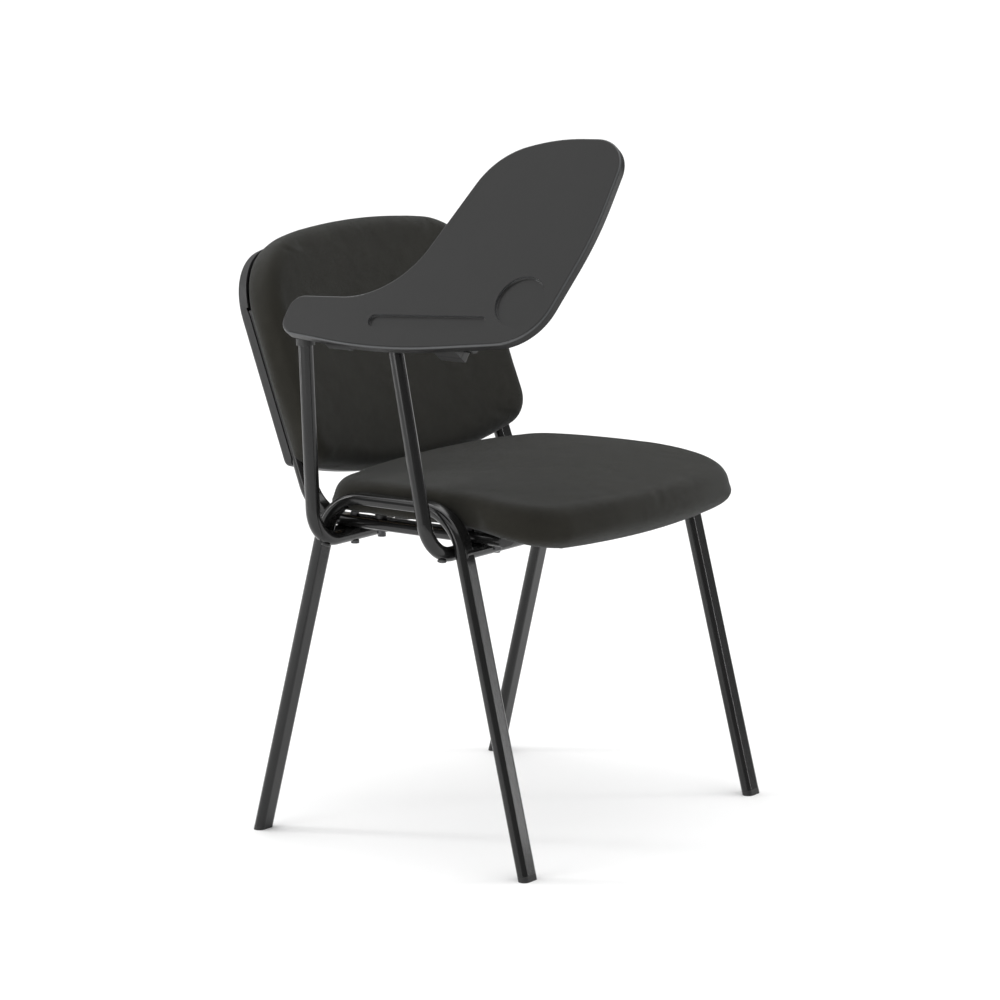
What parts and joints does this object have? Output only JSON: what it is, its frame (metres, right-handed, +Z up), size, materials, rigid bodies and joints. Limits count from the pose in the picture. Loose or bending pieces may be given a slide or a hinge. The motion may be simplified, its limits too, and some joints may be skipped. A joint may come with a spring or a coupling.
{
  "type": "conference chair with writing tablet",
  "caption": "Upholstered conference chair on a black steel-tube frame, with a folding writing tablet hinged on an arm at the sitter's right.",
  "frame": {"origin": "middle of the whole chair's box, on the floor", "axes": "+Z up, the chair faces -Y, the sitter's right and the writing tablet are on the -X side"},
  "size_m": [0.626, 0.6074, 0.9319],
  "materials": {
    "black_paint": "gloss black powder coat",
    "black_plastic": "satin black, fine moulded grain",
    "tablet_plastic": "satin black, smooth",
    "seat_fabric": "charcoal black plain weave",
    "lining_fabric": "black non-woven lining",
    "plywood": "bare birch plywood",
    "zinc_steel": "bright zinc plate",
    "black_steel": "black oxide, lightly oiled"
  },
  "bodies": {
    "chair": {"side_frame_right": "black_paint", "side_frame_left": "black_paint", "leg_plugs": "black_plastic", "front_cross_tube": "black_paint", "rear_cross_tube": "black_paint", "back_support_right": "black_paint", "back_support_left": "black_paint", "support_plugs": "black_plastic", "seat_board": "plywood", "seat_cushion": "seat_fabric", "seat_cover": "lining_fabric", "seat_bolts": "black_steel", "seat_washers": "black_steel", "seat_spacers": "black_plastic", "seat_inserts": "zinc_steel", "back_board": "plywood", "back_cushion": "seat_fabric", "back_shell": "black_plastic", "back_screws": "zinc_steel", "back_inserts": "zinc_steel", "shell_screws": "zinc_steel", "arm_post_rear": "black_paint", "arm_post_front": "black_paint", "hinge_bar": "black_paint", "post_collar": "black_plastic", "drain_plugs": "black_plastic", "arm_plugs": "black_plastic", "arm_bolts": "black_steel", "arm_nuts": "black_steel", "arm_brackets": "zinc_steel", "bracket_screws": "zinc_steel"},
    "tablet": {"tablet": "tablet_plastic", "hinge_clamps_upper": "black_plastic", "hinge_clamps_lower": "black_plastic", "hinge_bushes": "black_plastic", "clamp_screws": "zinc_steel"}
  },
  "joints": [
    {"name": "tablet_tilt", "type": "hinge", "parent": "chair", "child": "tablet", "pos_m": [-0.27202, -0.0326, 0.683], "axis": [0, -1, 0], "range_deg": [-54, 36]}
  ]
}
